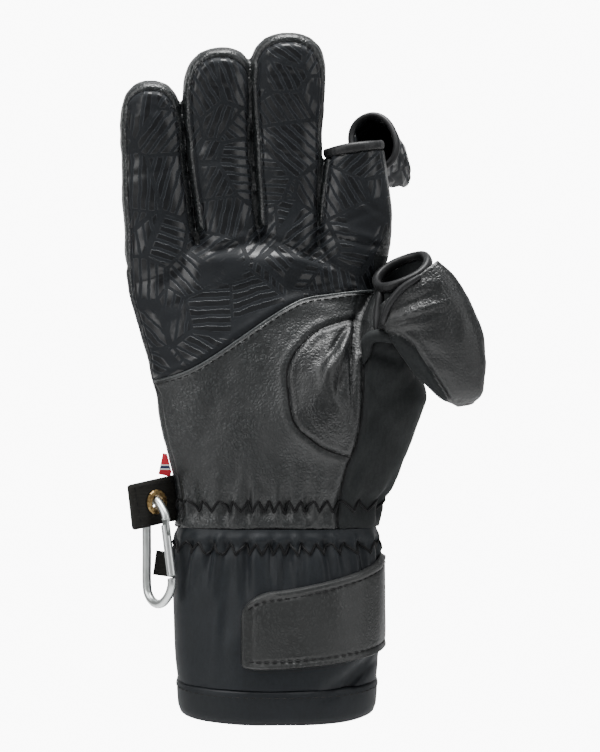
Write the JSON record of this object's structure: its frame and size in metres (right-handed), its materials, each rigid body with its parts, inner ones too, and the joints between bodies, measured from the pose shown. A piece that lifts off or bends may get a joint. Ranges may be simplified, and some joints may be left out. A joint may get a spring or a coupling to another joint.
{
  "type": "photography glove",
  "caption": "Right-hand winter photography glove with open, folded-back index and thumb tips, gathered wrist, cuff strap and a carabiner on a side tab.",
  "frame": {"origin": "centre of the cuff's open lower end, where the wrist goes in", "axes": "+Z along the hand from the cuff to the fingertips, -Y out of the palm, +X towards the thumb"},
  "size_m": [0.1476, 0.0741, 0.279],
  "materials": {
    "leather": "fine-grained dark grey leather, soft sheen",
    "softshell": "blue-black woven softshell",
    "binding": "smooth folded binding",
    "tab": "dark woven webbing",
    "label": "red woven ribbon with a plain stripe",
    "brass": "antique brass",
    "aluminium": "satin"
  },
  "bodies": {
    "glove": {"finger_fronts": "softshell", "palm_leather": "leather", "thumb_leather": "leather", "side_softshell": "softshell", "hand_back": "leather", "index_binding": "binding", "index_cap": "softshell", "thumb_binding": "binding", "thumb_cap": "leather", "cuff": "softshell", "cuff_hem": "binding", "cuff_strap": "leather", "side_tab": "tab", "eyelet": "brass", "side_label": "label", "pull_tab": "tab"},
    "carabiner": {"carabiner_body": "aluminium"},
    "gate": {"carabiner_gate": "aluminium"}
  },
  "joints": [
    {"name": "carabiner_swing", "type": "hinge", "parent": "glove", "child": "carabiner", "pos_m": [-0.0511, -0.0098, 0.0891], "axis": [-0.6428, 0.766, 0], "range_deg": [0, 50]},
    {"name": "gate_hinge", "type": "hinge", "parent": "carabiner", "child": "gate", "pos_m": [-0.0461, -0.0158, 0.078], "axis": [0.766, 0.6428, 0], "range_deg": [0, 25], "stiffness_Nm_per_rad": 0.002, "springref_deg": -20.05}
  ]
}
